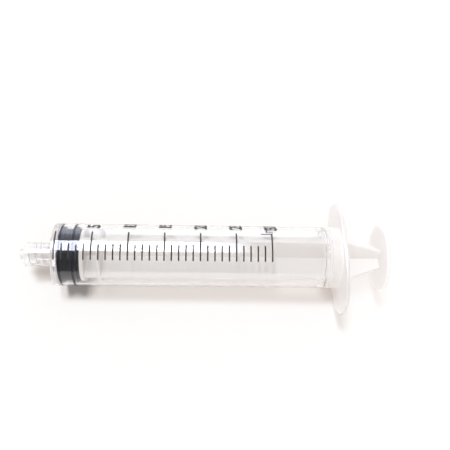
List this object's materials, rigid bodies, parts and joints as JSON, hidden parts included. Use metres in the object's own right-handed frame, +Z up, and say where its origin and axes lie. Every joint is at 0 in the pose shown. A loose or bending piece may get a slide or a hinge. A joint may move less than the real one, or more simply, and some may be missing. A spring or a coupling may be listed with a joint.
{
  "type": "luer lock syringe",
  "caption": "Clear disposable syringe with an oval finger flange, a threaded lock collar round its tapered tip, a cross-ribbed plunger rod and a black rubber stopper.",
  "frame": {"origin": "on the table, under the middle of the syringe as it lies on its nose rim and on the long side of its finger flange", "axes": "+X from the luer tip towards the thumb rest, along the syringe but for the 0.74 degree rise that its flange gives it; +Y along the finger flange; +Z up"},
  "size_m": [0.1398, 0.0458, 0.0266],
  "materials": {
    "clear_polypropylene": "clear, slightly milky, smooth moulded surface with a dark printed scale",
    "milky_polypropylene": "translucent natural white, smooth moulded surface",
    "black_rubber": "matt black, wetted by a film of silicone oil"
  },
  "bodies": {
    "barrel": {"barrel": "clear_polypropylene"},
    "stopper": {"rubber_stopper": "black_rubber"},
    "rod": {"plunger_rod": "milky_polypropylene"}
  },
  "joints": [
    {"name": "plunger_slide", "type": "slide", "parent": "barrel", "child": "stopper", "axis": [0.9999, 0, 0.0129], "range_m": [0, 0.0928]},
    {"name": "rod_turn", "type": "hinge", "parent": "stopper", "child": "rod", "pos_m": [0.06977, 0, 0.01352], "axis": [0.9999, 0, 0.0129], "continuous": true}
  ]
}
